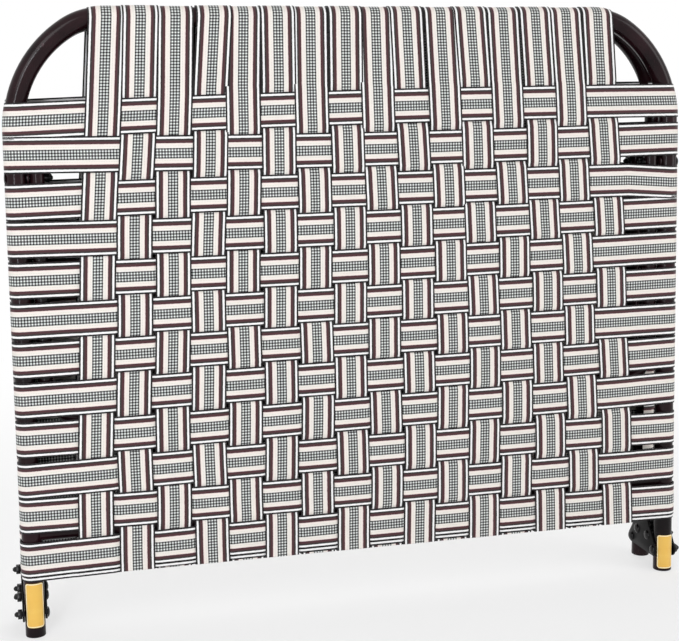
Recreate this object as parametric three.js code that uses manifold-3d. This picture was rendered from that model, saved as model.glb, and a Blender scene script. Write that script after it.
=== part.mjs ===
// Folding charpai: two U-shaped halves of painted steel tube, webbed with tape, joined by link hinges.
// Folded, it stands on its four rail ends with both sleeping sides out and the legs tucked between the halves.
// Millimetres, +Z up, +X to the right, the front half towards -Y. Origin: the middle of the footprint on the floor.

import * as THREE from "three";
import { mergeVertices } from "three/addons/utils/BufferGeometryUtils.js";
import Module from "manifold-3d";

const wasm = await Module();
wasm.setup();

// Driving sizes of the bed frame
const railSpan = 1034;
const halfLength = 930.5;
const railRadius = 15;
const railWall = 2;
const cornerRadius = 151;

// Clearances
const seatGap = 0.3;
const boltClearance = 0.3;
const runningGap = 0.5;
const stopGap = 1.25;
const cutOverrun = 5;
const weldDistance = 1e-4;

// Link hinge at the folding end of each rail
const pivotOffset = 34;
const pivotHalfSpacing = 38;
const headLeanIn = 18.46;
const plateThickness = 3;
const plateEarRadius = 12;
const plateTopRadius = 11;
const plateTopHeight = 91;
const boltRadius = 4;
const boltHeadRadius = 8;
const boltHeadHeight = 4.5;
const boltCrownRadius = 4.8;
const boltTail = 5;
const boltChamfer = 1;
const nutWidth = 13;
const nutHeight = 6.5;

// Plugs in the open rail ends
const capFlange = 1.5;
const capPlugLength = 15;

// Cross bar that keeps the rails apart near the hinge
const barRadius = 9.5;
const barWall = 1.5;

// Legs
const legRadius = 11;
const legWall = 1.8;
const legPivotShare = 0.7365;
const legLength = 360;
const legTopOverhang = 14;
const legCornerRadius = 60;
const bracketThickness = 3;
const bracketEarRadius = 12;
const stopPinRadius = 4;
const stopPinWeb = 1.5;
const stopPinOffset = 17.5;
const stopPinLength = 14;
const shoeWall = 2.7;
const shoeLength = 60;
const shoeSpreadShare = 0.6;

// Webbing tape
const tapeWidth = 50;
const tapeThickness = 1.3;
const tapeTail = 10;
const headTail = 22;
const firstRowShare = 0.835;
const legRowClearance = 0.1;
const lowerRowShares = [0.642, 0.579, 0.517, 0.455, 0.3925, 0.329, 0.263, 0.199, 0.1327];
const tuckedRowDrop = 6.5;
const fieldHeadHalfWidth = 413;
const fieldFoldHalfWidth = 453;
const foldBottomHeight = 78;
const foldShoulderDrop = 4;
const foldKneeRise = 10;
const foldKneeShare = 0.7;

// Facet counts
const railSides = 16;
const legSides = 10;
const boltSides = 8;
const bendSteps = 8;
const wrapSteps = 5;
const foldSteps = 10;
const plateSteps = 3;
const nutSides = 6;

// Places that follow from the sizes above
const railX = railSpan / 2;
const headAxis = halfLength - railRadius;
const lean = Math.asin(headLeanIn / (headAxis - pivotOffset));
const pivotHeight = pivotOffset * Math.cos(lean) + railRadius * Math.sin(lean);
const legPivotHeight = legPivotShare * halfLength;
const legRowReach = boltHeadRadius + legRowClearance + tapeWidth / 2;
const rowCentres = [
  firstRowShare * halfLength,
  legPivotHeight + legRowReach,
  legPivotHeight - legRowReach,
  ...lowerRowShares.map((share) => share * halfLength),
];
const lastRow = rowCentres.length - 1;
const barHeight = (rowCentres[lastRow - 1] + rowCentres[lastRow]) / 2;
const innerPlateFace = railX - railRadius - seatGap;
const outerPlateFace = railX + railRadius + seatGap;
const legX = innerPlateFace - bracketThickness - runningGap - legRadius;
const stopBoltY = pivotHalfSpacing - railRadius - boltRadius - stopGap;
const stopBoltZ = pivotHeight + railRadius + boltRadius + runningGap;
const wrapInner = railRadius + seatGap;
const boreRadius = circumscribed(boltRadius + boltClearance, boltSides);
const wrapOuter = wrapInner + tapeThickness;

const paint = new THREE.MeshStandardMaterial({ color: 0x2a1715, roughness: 0.3, metalness: 0.55 });
const darkSteel = new THREE.MeshStandardMaterial({ color: 0x191516, roughness: 0.45, metalness: 0.7 });
const blackPlastic = new THREE.MeshStandardMaterial({ color: 0x121113, roughness: 0.6, metalness: 0 });
const webbing = new THREE.MeshStandardMaterial({ color: 0xcdbfae, roughness: 0.75, metalness: 0 });

// A closed geometry as a solid that can be joined and cut.
function solidOf(geometry) {
  const flat = geometry.index ? geometry.toNonIndexed() : geometry.clone();
  flat.deleteAttribute("normal");
  flat.deleteAttribute("uv");
  const merged = mergeVertices(flat, weldDistance);
  return new wasm.Manifold(
    new wasm.Mesh({
      numProp: 3,
      vertProperties: merged.attributes.position.array,
      triVerts: new Uint32Array(merged.index.array),
    }),
  );
}

function geometryOf(solid) {
  const mesh = solid.getMesh();
  const geometry = new THREE.BufferGeometry();
  geometry.setAttribute("position", new THREE.BufferAttribute(mesh.vertProperties, 3));
  geometry.setIndex(new THREE.BufferAttribute(mesh.triVerts, 1));
  geometry.computeVertexNormals();
  return geometry;
}

function cut(geometry, cutters) {
  return geometryOf(cutters.reduce((rest, cutter) => rest.subtract(solidOf(cutter)), solidOf(geometry)));
}

function joined(geometries) {
  return geometryOf(geometries.map(solidOf).reduce((all, next) => all.add(next)));
}

function named(name, geometry, material) {
  const mesh = new THREE.Mesh(geometry, material);
  mesh.name = name;
  return mesh;
}

// A bent path whose stations are the ends of its straights and the steps of its bends.
class StationPath extends THREE.Curve {
  constructor(stations) {
    super();
    this.stations = stations;
  }
  getPointAt(share) {
    return this.stations[Math.round(share * (this.stations.length - 1))].point.clone();
  }
  getTangentAt(share) {
    return this.stations[Math.round(share * (this.stations.length - 1))].tangent.clone();
  }
  getPoint(share) {
    return this.getPointAt(share);
  }
  getSpacedPoints() {
    return this.stations.map((station) => station.point.clone());
  }
}

// Stations of a U standing in the XZ plane: up one side, round two bends, down the other.
function uStations(halfSpan, footZ, crownZ, radius) {
  const turn = Math.sign(crownZ - footZ);
  const stations = [];
  const add = (x, z, tx, tz) =>
    stations.push({ point: new THREE.Vector3(x, 0, z), tangent: new THREE.Vector3(tx, 0, tz) });
  add(-halfSpan, footZ, 0, turn);
  for (const side of [-1, 1]) {
    for (let step = 0; step <= bendSteps; step++) {
      const angle = ((side < 0 ? step : bendSteps - step) / bendSteps) * (Math.PI / 2);
      const x = side * (halfSpan - radius + radius * Math.cos(angle));
      const z = crownZ - turn * (radius - radius * Math.sin(angle));
      add(x, z, Math.sin(angle), -side * turn * Math.cos(angle));
    }
  }
  add(halfSpan, footZ, 0, -turn);
  return stations;
}

function ring(outer, inner, sides) {
  const shape = new THREE.Shape(circlePoints(outer, sides));
  if (inner > 0) shape.holes.push(new THREE.Path(circlePoints(inner, sides)));
  return shape;
}

function circlePoints(radius, sides) {
  return Array.from({ length: sides }, (_, i) => {
    const angle = (i / sides) * 2 * Math.PI;
    return new THREE.Vector2(radius * Math.cos(angle), radius * Math.sin(angle));
  });
}

// The radius of a faceted bore whose flats still clear a round bar of this radius.
function circumscribed(radius, sides) {
  return radius / Math.cos(Math.PI / sides);
}

function bentTube(stations, outer, inner, sides) {
  return new THREE.ExtrudeGeometry(ring(outer, inner, sides), {
    steps: stations.length - 1,
    extrudePath: new StationPath(stations),
  });
}

// A round bar, tube or ring along X, from x0 to x1, about the line (y, z).
function roundAlongX(outer, inner, x0, x1, sides, y, z) {
  const geometry = new THREE.ExtrudeGeometry(ring(outer, inner, sides), {
    depth: Math.abs(x1 - x0),
    bevelEnabled: false,
  });
  return geometry.rotateY(Math.PI / 2).translate(Math.min(x0, x1), y, z);
}

// A plate that lies in a YZ plane, between x0 and x1. Its outline is drawn with Y across and Z up.
function plateAcrossX(shape, x0, x1, curveSegments) {
  const geometry = new THREE.ExtrudeGeometry(shape, {
    depth: Math.abs(x1 - x0),
    bevelEnabled: false,
    curveSegments,
  });
  const turn = new THREE.Matrix4().makeBasis(
    new THREE.Vector3(0, 1, 0),
    new THREE.Vector3(0, 0, 1),
    new THREE.Vector3(1, 0, 0),
  );
  return geometry.applyMatrix4(turn).translate(Math.min(x0, x1), 0, 0);
}

// The outline round a ring of discs given counter-clockwise, as arcs joined by their outer tangents.
function wrappedOutline(discs) {
  const count = discs.length;
  const normals = discs.map((disc, i) => {
    const next = discs[(i + 1) % count];
    const across = Math.hypot(next.y - disc.y, next.z - disc.z);
    const heading = Math.atan2(next.z - disc.z, next.y - disc.y);
    return heading - Math.PI / 2 + Math.asin((disc.radius - next.radius) / across);
  });
  const shape = new THREE.Shape();
  discs.forEach((disc, i) => {
    const from = normals[(i + count - 1) % count];
    shape.absarc(disc.y, disc.z, disc.radius, from, normals[i], false);
  });
  return shape;
}

function boltHole(y, z) {
  return new THREE.Path(circlePoints(boreRadius, boltSides).map((p) => p.add(new THREE.Vector2(y, z))));
}

// A bolt on the line (y, z): its head's seat at x = seat, its tip at x = tip.
function bolt(name, seat, tip, y, z) {
  const direction = Math.sign(tip - seat);
  const length = Math.abs(tip - seat);
  const profile = [
    [0, -boltHeadHeight],
    [boltCrownRadius, -boltHeadHeight],
    [boltHeadRadius, -boltHeadHeight / 2],
    [boltHeadRadius, 0],
    [boltRadius, 0],
    [boltRadius, length - boltChamfer],
    [boltRadius - boltChamfer, length],
    [0, length],
  ].map(([radius, along]) => new THREE.Vector2(radius, along));
  const geometry = new THREE.LatheGeometry(profile, boltSides);
  geometry.rotateZ((-direction * Math.PI) / 2).translate(seat, y, z);
  return named(name, geometry, darkSteel);
}

// A hexagon nut on the line (y, z), with its seat at x = seat, growing towards direction.
function nut(name, seat, direction, y, z) {
  const shape = new THREE.Shape(circlePoints(circumscribed(nutWidth / 2, nutSides), nutSides));
  shape.holes.push(new THREE.Path(circlePoints(boreRadius, boltSides)));
  const geometry = new THREE.ExtrudeGeometry(shape, { depth: nutHeight, bevelEnabled: false });
  geometry.rotateY((direction * Math.PI) / 2).translate(seat, y, z);
  return named(name, geometry, darkSteel);
}

const sides = [
  { name: "left", sign: -1 },
  { name: "right", sign: 1 },
];

// The painted U tube of one half, drilled for its hinge and leg bolts.
function frameTube(half) {
  const stations = uStations(railX, capFlange, headAxis, cornerRadius);
  const tube = bentTube(stations, railRadius, railRadius - railWall, railSides);
  const hole = (sign, z) =>
    roundAlongX(
      boreRadius,
      0,
      sign * (railX - railRadius - cutOverrun),
      sign * (railX + railRadius + cutOverrun),
      boltSides,
      0,
      z,
    );
  const holes = sides.flatMap(({ sign }) => [hole(sign, pivotOffset), hole(sign, legPivotHeight)]);
  return named(half + "_frame_tube", cut(tube, holes), paint);
}

function endCap(half, side) {
  const profile = [
    [0, 0],
    [railRadius, 0],
    [railRadius, capFlange - seatGap],
    [railRadius - railWall - seatGap, capFlange - seatGap],
    [railRadius - railWall - seatGap, capPlugLength],
    [0, capPlugLength],
  ].map(([radius, z]) => new THREE.Vector2(radius, z));
  const geometry = new THREE.LatheGeometry(profile, railSides);
  geometry.rotateX(Math.PI / 2).translate(side.sign * railX, 0, 0);
  return named(half + "_" + side.name + "_end_cap", geometry, blackPlastic);
}

// The cross bar, its ends coped to sit round the rails.
function crossBar(half) {
  const bar = roundAlongX(barRadius, barRadius - barWall, -railX, railX, legSides, 0, barHeight);
  const cope = (sign) => {
    const radius = circumscribed(railRadius + seatGap, railSides);
    const geometry = new THREE.CylinderGeometry(radius, radius, 2 * (barRadius + cutOverrun), railSides);
    return geometry.rotateX(Math.PI / 2).translate(sign * railX, 0, barHeight);
  };
  const trimmed = cut(bar, [cope(-1), cope(1)]);
  const outer = solidOf(trimmed).decompose();
  const widest = outer.reduce((best, piece) => (piece.volume() > best.volume() ? piece : best));
  return named(half + "_cross_bar", geometryOf(widest), paint);
}

// One cross tape: straight between the rails on the sleeping side, then round each rail to its back.
function rowTape(centre) {
  const shape = new THREE.Shape();
  shape.moveTo(-railX, -wrapOuter);
  shape.lineTo(railX, -wrapOuter);
  shape.absarc(railX, 0, wrapOuter, -Math.PI / 2, Math.PI / 2, false);
  shape.lineTo(railX - tapeTail, wrapOuter);
  shape.lineTo(railX - tapeTail, wrapInner);
  shape.absarc(railX, 0, wrapInner, Math.PI / 2, -Math.PI / 2, true);
  shape.lineTo(-railX, -wrapInner);
  shape.absarc(-railX, 0, wrapInner, (3 * Math.PI) / 2, Math.PI / 2, true);
  shape.lineTo(-railX + tapeTail, wrapInner);
  shape.lineTo(-railX + tapeTail, wrapOuter);
  shape.absarc(-railX, 0, wrapOuter, Math.PI / 2, (3 * Math.PI) / 2, false);
  const geometry = new THREE.ExtrudeGeometry(shape, {
    depth: tapeWidth,
    bevelEnabled: false,
    curveSegments: wrapSteps,
  });
  return geometry.translate(0, 0, centre - tapeWidth / 2);
}

// The length tapes over the head tube, as one sheet from the first row up, over the tube and down its back.
function headSheet() {
  const foot = rowCentres[0];
  const shape = new THREE.Shape();
  shape.moveTo(-wrapOuter, foot);
  shape.lineTo(-wrapInner, foot);
  shape.absarc(0, headAxis, wrapInner, Math.PI, 0, true);
  shape.lineTo(wrapInner, headAxis - headTail);
  shape.lineTo(wrapOuter, headAxis - headTail);
  shape.absarc(0, headAxis, wrapOuter, 0, Math.PI, false);
  return plateAcrossX(shape, -fieldHeadHalfWidth, fieldHeadHalfWidth, wrapSteps);
}

// The woven field between the first and last rows, two tapes thick, wider at the fold than at the head.
function wovenField() {
  const top = rowCentres[0] + tapeWidth / 2;
  const foot = rowCentres[lastRow] - tapeWidth / 2;
  const shape = new THREE.Shape([
    new THREE.Vector2(-fieldFoldHalfWidth, -foot),
    new THREE.Vector2(-fieldHeadHalfWidth, -top),
    new THREE.Vector2(fieldHeadHalfWidth, -top),
    new THREE.Vector2(fieldFoldHalfWidth, -foot),
  ]);
  const geometry = new THREE.ExtrudeGeometry(shape, { depth: 2 * tapeThickness, bevelEnabled: false });
  return geometry.rotateX(-Math.PI / 2).translate(0, -wrapInner - 2 * tapeThickness, 0);
}

// The webbing of one half: its cross tapes, the one pushed up under the last, the field and the head sheet.
function halfWebbing(half) {
  const rows = [...rowCentres, rowCentres[lastRow] - tuckedRowDrop].map(rowTape);
  return named(half + "_webbing", joined([wovenField(), headSheet(), ...rows]), webbing);
}

// A point of the front half, y off its rail axes and z up from its rail ends, as it stands folded.
function standing(y, z) {
  return new THREE.Vector2(
    -pivotHalfSpacing + y * Math.cos(lean) + (z - pivotOffset) * Math.sin(lean),
    pivotHeight - y * Math.sin(lean) + (z - pivotOffset) * Math.cos(lean),
  );
}

// The length tapes between the halves: slack, as a shallow trough below the tucked rows.
function foldWebbing() {
  const outside = wrapOuter + seatGap + tapeThickness / 2;
  const start = standing(-outside, rowCentres[lastRow] - tuckedRowDrop - tapeWidth / 2 - seatGap);
  const curve = new THREE.CubicBezierCurve(
    start,
    new THREE.Vector2(start.x - 2 * tapeThickness, start.y - foldShoulderDrop),
    new THREE.Vector2(start.x * foldKneeShare, foldBottomHeight + foldKneeRise),
    new THREE.Vector2(0, foldBottomHeight),
  );
  const offset = (share, distance) => {
    const tangent = curve.getTangent(share);
    return curve.getPoint(share).add(new THREE.Vector2(-tangent.y, tangent.x).multiplyScalar(distance));
  };
  const halfThickness = tapeThickness / 2;
  const shares = Array.from({ length: foldSteps + 1 }, (_, i) => i / foldSteps);
  const upper = shares.map((share) => offset(share, halfThickness));
  const lower = shares.map((share) => offset(share, -halfThickness));
  const mirrored = (points) =>
    points
      .slice(0, -1)
      .map((p) => new THREE.Vector2(-p.x, p.y))
      .reverse();
  const outline = [...lower, ...mirrored(lower), ...[...upper, ...mirrored(upper)].reverse()];
  const sheet = plateAcrossX(new THREE.Shape(outline), -fieldFoldHalfWidth, fieldFoldHalfWidth, foldSteps);
  return named("fold_webbing", sheet, webbing);
}

// The plate welded inside a rail: the leg turns on its ear and stops against its pin.
function legBracket(half, side) {
  const pinY = stopPinOffset;
  const pinZ = legPivotHeight + legRadius + stopPinRadius + runningGap;
  const shape = wrappedOutline([
    { y: 0, z: legPivotHeight, radius: bracketEarRadius },
    { y: pinY, z: pinZ, radius: stopPinRadius + stopPinWeb },
  ]);
  shape.holes.push(boltHole(0, legPivotHeight));
  const outerFace = side.sign * innerPlateFace;
  const innerFace = outerFace - side.sign * bracketThickness;
  const plate = plateAcrossX(shape, outerFace, innerFace, plateSteps);
  const pinEnd = innerFace - side.sign * stopPinLength;
  const pin = roundAlongX(stopPinRadius, 0, outerFace, pinEnd, boltSides, pinY, pinZ);
  return named(half + "_" + side.name + "_leg_bracket", joined([plate, pin]), paint);
}

// A U leg hanging folded between its rails, drilled at the tops of its two shanks.
function legTube(half) {
  const foot = legPivotHeight - legLength;
  const top = legPivotHeight + legTopOverhang;
  const tube = bentTube(uStations(legX, top, foot, legCornerRadius), legRadius, legRadius - legWall, legSides);
  const holes = sides.map(({ sign }) => {
    const inner = sign * (legX - legRadius - cutOverrun);
    const outer = sign * (legX + legRadius + cutOverrun);
    return roundAlongX(boreRadius, 0, inner, outer, boltSides, 0, legPivotHeight);
  });
  return named(half + "_leg_tube", cut(tube, holes), paint);
}

// A plastic sleeve on the leg's foot bar.
function legShoe(half, side) {
  const centre = side.sign * shoeSpreadShare * legX;
  const bore = circumscribed(legRadius + seatGap, railSides);
  const start = centre - shoeLength / 2;
  const foot = legPivotHeight - legLength;
  const sleeve = roundAlongX(bore + shoeWall, bore, start, start + shoeLength, railSides, 0, foot);
  return named(half + "_" + side.name + "_leg_shoe", sleeve, blackPlastic);
}

function legBolt(half, side) {
  const name = half + "_" + side.name + "_leg_bolt";
  const head = side.sign * (railX + railRadius + seatGap);
  const nutSeat = side.sign * (legX - legRadius - seatGap);
  const tip = nutSeat - side.sign * (nutHeight + boltTail);
  return [
    bolt(name, head, tip, 0, legPivotHeight),
    nut(name + "_nut", nutSeat, -side.sign, 0, legPivotHeight),
  ];
}

// Everything that turns with one half, drawn upright about its hinge pivots.
function bedHalf(half) {
  const pieces = [frameTube(half), crossBar(half), halfWebbing(half), legTube(half)];
  for (const side of sides) {
    pieces.push(endCap(half, side), legBracket(half, side), legShoe(half, side), ...legBolt(half, side));
  }
  const upright = new THREE.Group();
  upright.position.set(0, 0, -pivotOffset);
  upright.add(...pieces);
  const leaning = new THREE.Group();
  leaning.position.set(0, -pivotHalfSpacing, pivotHeight);
  leaning.rotation.x = -lean;
  leaning.add(upright);
  return leaning;
}

const plateBoltPlaces = [
  { name: "front_pivot", y: -pivotHalfSpacing, z: pivotHeight },
  { name: "rear_pivot", y: pivotHalfSpacing, z: pivotHeight },
  { name: "front_stop", y: -stopBoltY, z: stopBoltZ },
  { name: "rear_stop", y: stopBoltY, z: stopBoltZ },
  { name: "top", y: 0, z: plateTopHeight },
];

function hingePlate(side, place, nearFace, farFace) {
  const shape = wrappedOutline([
    { y: -pivotHalfSpacing, z: pivotHeight, radius: plateEarRadius },
    { y: pivotHalfSpacing, z: pivotHeight, radius: plateEarRadius },
    { y: 0, z: plateTopHeight, radius: plateTopRadius },
  ]);
  plateBoltPlaces.forEach(({ y, z }) => shape.holes.push(boltHole(y, z)));
  const plate = plateAcrossX(shape, side.sign * nearFace, side.sign * farFace, plateSteps);
  return named(side.name + "_" + place + "_hinge_plate", plate, darkSteel);
}

// The two link plates of one side and the bolts through them, heads inside and nuts outside.
function linkHinge(side) {
  const innerFace = innerPlateFace - plateThickness;
  const outerFace = outerPlateFace + plateThickness;
  const pieces = [
    hingePlate(side, "inner", innerFace, innerPlateFace),
    hingePlate(side, "outer", outerPlateFace, outerFace),
  ];
  for (const { name, y, z } of plateBoltPlaces) {
    const head = side.sign * (innerFace - seatGap);
    const nutSeat = side.sign * (outerFace + seatGap);
    const tip = nutSeat + side.sign * (nutHeight + boltTail);
    pieces.push(bolt(side.name + "_" + name + "_bolt", head, tip, y, z));
    pieces.push(nut(side.name + "_" + name + "_nut", nutSeat, side.sign, y, z));
  }
  return pieces;
}

const charpai = new THREE.Group();
const rearMirror = new THREE.Group();
rearMirror.scale.y = -1;
rearMirror.add(bedHalf("rear"));
charpai.add(bedHalf("front"), rearMirror, foldWebbing(), ...sides.flatMap(linkHinge));

export default charpai;
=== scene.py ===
# A folding charpai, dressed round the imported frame: painted tube, link hinges and hand-laid webbing tape.
# Metres, +Z up, the front half towards -Y. Each half is drawn upright and then placed as it stands folded.

import math
import random

import bmesh
import bpy
from mathutils import Matrix, Vector


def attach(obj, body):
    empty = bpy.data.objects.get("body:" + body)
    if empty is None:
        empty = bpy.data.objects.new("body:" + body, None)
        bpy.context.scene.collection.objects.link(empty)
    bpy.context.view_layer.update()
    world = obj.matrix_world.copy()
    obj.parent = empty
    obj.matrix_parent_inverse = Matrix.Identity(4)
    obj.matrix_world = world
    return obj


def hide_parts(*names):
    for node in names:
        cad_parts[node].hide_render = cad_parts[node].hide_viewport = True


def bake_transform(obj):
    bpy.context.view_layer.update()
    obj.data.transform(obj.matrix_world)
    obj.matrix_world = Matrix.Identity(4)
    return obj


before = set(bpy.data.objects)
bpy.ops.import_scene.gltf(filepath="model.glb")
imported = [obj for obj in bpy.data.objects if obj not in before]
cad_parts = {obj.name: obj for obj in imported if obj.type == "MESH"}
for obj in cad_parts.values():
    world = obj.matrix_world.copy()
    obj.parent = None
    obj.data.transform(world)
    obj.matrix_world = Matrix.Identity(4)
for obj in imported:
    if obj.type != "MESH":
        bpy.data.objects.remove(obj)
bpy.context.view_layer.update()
MM = 0.001

HALVES = ("front", "rear")
SIDES = (("left", -1), ("right", 1))

# Sizes of the bed frame, as the source has them
RAIL_X = 517 * MM
HALF_LENGTH = 930.5 * MM
RAIL_RADIUS = 15 * MM
RAIL_WALL = 2 * MM
HEAD_AXIS = HALF_LENGTH - RAIL_RADIUS
PIVOT_OFFSET = 34 * MM
PIVOT_HALF_SPACING = 38 * MM
HEAD_LEAN_IN = 18.46 * MM
LEAN = math.asin(HEAD_LEAN_IN / (HEAD_AXIS - PIVOT_OFFSET))
PIVOT_HEIGHT = PIVOT_OFFSET * math.cos(LEAN) + RAIL_RADIUS * math.sin(LEAN)
BAR_RADIUS = 9.5 * MM
BAR_HEIGHT_SHARE = 0.16585
SEAT_GAP = 0.3 * MM
RUNNING_GAP = 0.5 * MM
STOP_GAP = 1.25 * MM

# The two bends of each corner of the frame tube, from the rail up: radius and angle
RAIL_BEND = (175 * MM, math.radians(57))
HEAD_BEND = (96 * MM, math.radians(33))
RAIL_CORNER = (RAIL_BEND, HEAD_BEND)

# Plugs in the rail ends
CAP_FLANGE = 1.5 * MM
CAP_PLUG_LENGTH = 15 * MM
CAP_FACE_INSET = 1.2 * MM
CAP_LIP = 0.35 * MM

# Hinge plates, bolts and nuts
PLATE_THICKNESS = 3 * MM
PLATE_EAR_RADIUS = 12 * MM
PLATE_TOP_RADIUS = 11 * MM
PLATE_TOP_HEIGHT = 91 * MM
PLATE_EDGE_ROUND = 0.5 * MM
INNER_LINK_TRIM = 2 * MM
BOLT_RADIUS = 4 * MM
BOLT_HEAD_RADIUS = 8 * MM
BOLT_HEAD_HEIGHT = 3.4 * MM
LEG_BOLT_HEAD_HEIGHT = 1.8 * MM
BOLT_TAIL = 5 * MM
BOLT_POINT_LENGTH = 2.5 * MM
BOLT_POINT_SHARE = 0.45
NUT_WIDTH = 13 * MM
NUT_HEIGHT = 6.5 * MM
NUT_CORNER_ROUND = 0.7 * MM
NUT_RIM_ROUND = 0.6 * MM

# Legs, their brackets and shoes
LEG_RADIUS = 11 * MM
LEG_WALL = 1.8 * MM
LEG_LENGTH = 360 * MM
LEG_TOP_OVERHANG = 14 * MM
LEG_CORNER = ((60 * MM, math.radians(90)),)
LEG_PIVOT_SHARE = 0.7365
BRACKET_THICKNESS = 3 * MM
BRACKET_EAR_RADIUS = 12 * MM
BRACKET_EDGE_ROUND = 0.4 * MM
STOP_PIN_RADIUS = 4 * MM
STOP_PIN_WEB = 1.5 * MM
STOP_PIN_OFFSET = 17.5 * MM
STOP_PIN_LENGTH = 14 * MM
STOP_PIN_SINK = 1 * MM
STOP_PIN_BEYOND = 2 * MM
STOP_PIN_CHAMFER = 0.5 * MM
SHOE_WALL = 2.7 * MM
SHOE_LENGTH = 60 * MM
SHOE_SPREAD_SHARE = 0.6

# Rounding of a shoe's end, in mm: how far from the end, and how far inside the full radius
SHOE_END_CURVE = ((0, 1.0), (0.4, 0.3), (1.3, 0))

# Places that follow from the sizes
BAR_HEIGHT = BAR_HEIGHT_SHARE * HALF_LENGTH
LEG_PIVOT = LEG_PIVOT_SHARE * HALF_LENGTH
LEG_FOOT = LEG_PIVOT - LEG_LENGTH
INNER_FACE = RAIL_X - RAIL_RADIUS - SEAT_GAP
OUTER_FACE = RAIL_X + RAIL_RADIUS + SEAT_GAP
LEG_X = INNER_FACE - BRACKET_THICKNESS - RUNNING_GAP - LEG_RADIUS
STOP_BOLT_Y = PIVOT_HALF_SPACING - RAIL_RADIUS - BOLT_RADIUS - STOP_GAP
STOP_BOLT_Z = PIVOT_HEIGHT + RAIL_RADIUS + BOLT_RADIUS + RUNNING_GAP

# How finely round forms are drawn
RAIL_SIDES = 48
LEG_SIDES = 40
BAR_SIDES = 32
BOLT_SIDES = 24
NUT_SIDES = 6
DOME_STEPS = 6
BEND_STEP_DEGREES = 3.5
PLATE_STEPS = 20
BRACKET_STEPS = 16
WELD = 0.01 * MM

# How steep an edge is where the shading breaks, or never does, and where the edge is rounded off
SHARP_DEGREES = 40
SMOOTH_DEGREES = 180
PLATE_RIM_DEGREES = 60
NUT_RIM_DEGREES = 75

# Webbing tape and where it lies, measured on the half
TAPE_WIDTH = 53 * MM
TAPE_THICKNESS = 1.1 * MM
TAPE_TAIL = 10 * MM
TAIL_SLACK = 0.3 * MM
HEAD_TAIL = 22 * MM
HEAD_LAYERS = (-0.25 * MM, 0.75 * MM)
HEAD_DROP_FADE = 60 * MM
WRAP_RADIUS = 15.95 * MM
WEAVE_PLANE = 16.7 * MM
WEAVE_LIFT = 1.0 * MM
WEAVE_EASE = 5.5 * MM
CROWN = 0.4 * MM
LAST_ROW_LIFT = 1.15 * MM
TUCKED_ROW_DROP = 6.5 * MM
REAR_FIRST_ROW_RISE = 5 * MM
ROW_ABOVE_LEG_BOLT = 1
ROW_BOLT_LAP = 1.4 * MM

# Where the length tapes leave the field and turn under between the halves
FIELD_FOOT = 93 * MM
FIRST_STATION_GAP = 0.2 * MM
FOLD_OUTSIDE = 17.55 * MM
FOLD_BOTTOM = 78 * MM
FOLD_TIGHTER = (1 * MM, 5 * MM)
FOLD_SHOULDER_DROP = 4 * MM
FOLD_SHOULDER_OUT = 2.6 * MM
FOLD_KNEE_RISE = 10 * MM
FOLD_KNEE_SHARE = 0.7
FOLD_FADE = 3.5

# How finely the tapes are drawn
ACROSS_STEPS = 8
WRAP_STEPS = 14
FOLD_STEPS = 20
CROSSING_SHARES = (-0.55, 0, 0.55)
PASSING_SHARES = (-1, -0.5, 0, 0.5, 1)

# Drift of each tape as laid by hand: least and most size, fewest and most turns in a metre, as an angle
COLUMN_SWAY = (0.4 * MM, 1.3 * MM, 14, 26)
ROW_SWAY = (0.2 * MM, 0.8 * MM, 4, 9)
SWAY_RISE = 8
SEED = 41

# The middle line of each cross tape, as its height at the left rail, half way and at the right rail, in mm
ROWS = [
    (767, 780, 784),
    (718, 717, 722),
    (651, 656, 657),
    (597, 597, 604),
    (537, 539, 546),
    (477, 482, 487),
    (420, 425, 428),
    (361, 366, 373),
    (302, 307, 314),
    (240, 247, 246),
    (187, 186, 186),
    (120, 127, 124),
]
LAST_ROW = len(ROWS) - 1

# The middle line of each length tape, as its place across at the fold, half way up and at the head, in mm
COLUMNS = [
    (-424, -408, -380),
    (-363, -354, -330),
    (-307, -297, -281),
    (-248, -244, -224),
    (-194, -190, -180),
    (-140, -133, -129),
    (-82, -78, -80),
    (-25, -24, -25),
    (29, 30, 21),
    (83, 85, 71),
    (138, 140, 125),
    (192, 192, 173),
    (247, 246, 226),
    (307, 300, 281),
    (367, 354, 332),
    (426, 411, 384),
]

# Card labels on the front rail ends: side, rail, lower and upper end along the rail, and degrees turned
LABEL_WIDTH = 30 * MM
LABEL_STANDOFF = 0.2 * MM
LABEL_THICKNESS = 0.25 * MM
LABEL_CORNER = 4.5 * MM
LABEL_CORNER_STEPS = 5
LABEL_INSETS = (0.4 * MM, 1.5 * MM)
LABEL_CUTS = 12
LABELS = (
    ("left", -RAIL_X, 16 * MM, 84 * MM, 2),
    ("right", RAIL_X, 5 * MM, 62 * MM, -5),
)

# What a label's UV says: the card's edge, its rim line or its panel
EDGE_MARK = 0.0
RIM_MARK = 0.5
PANEL_MARK = 1.0
RIM_REACH = 0.2


# Places and curves


def shift(x, y, z):
    return Matrix.Translation((x, y, z))


def standing(half):
    """Takes a half from its upright drawing to the place where it stands folded."""
    upright = shift(0, 0, -PIVOT_OFFSET)
    leaning = shift(0, -PIVOT_HALF_SPACING, PIVOT_HEIGHT) @ Matrix.Rotation(-LEAN, 4, "X")
    mirror = Matrix.Scale(-1, 4, (0, 1, 0)) if half == "rear" else Matrix.Identity(4)
    return mirror @ leaning @ upright


def ease(value):
    value = min(1.0, max(0.0, value))
    return value * value * (3 - 2 * value)


def mix(low, high, share):
    return low + (high - low) * share


def bend_reach(bends):
    """How far a corner made of several bends reaches across and along, from its first bend on."""
    across = along = turned_by = 0
    for radius, angle in bends:
        across += radius * (math.cos(turned_by) - math.cos(turned_by + angle))
        along += radius * (math.sin(turned_by + angle) - math.sin(turned_by))
        turned_by += angle
    return across, along


CORNER_ACROSS, CORNER_ALONG = bend_reach(RAIL_CORNER)


# Meshes


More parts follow.
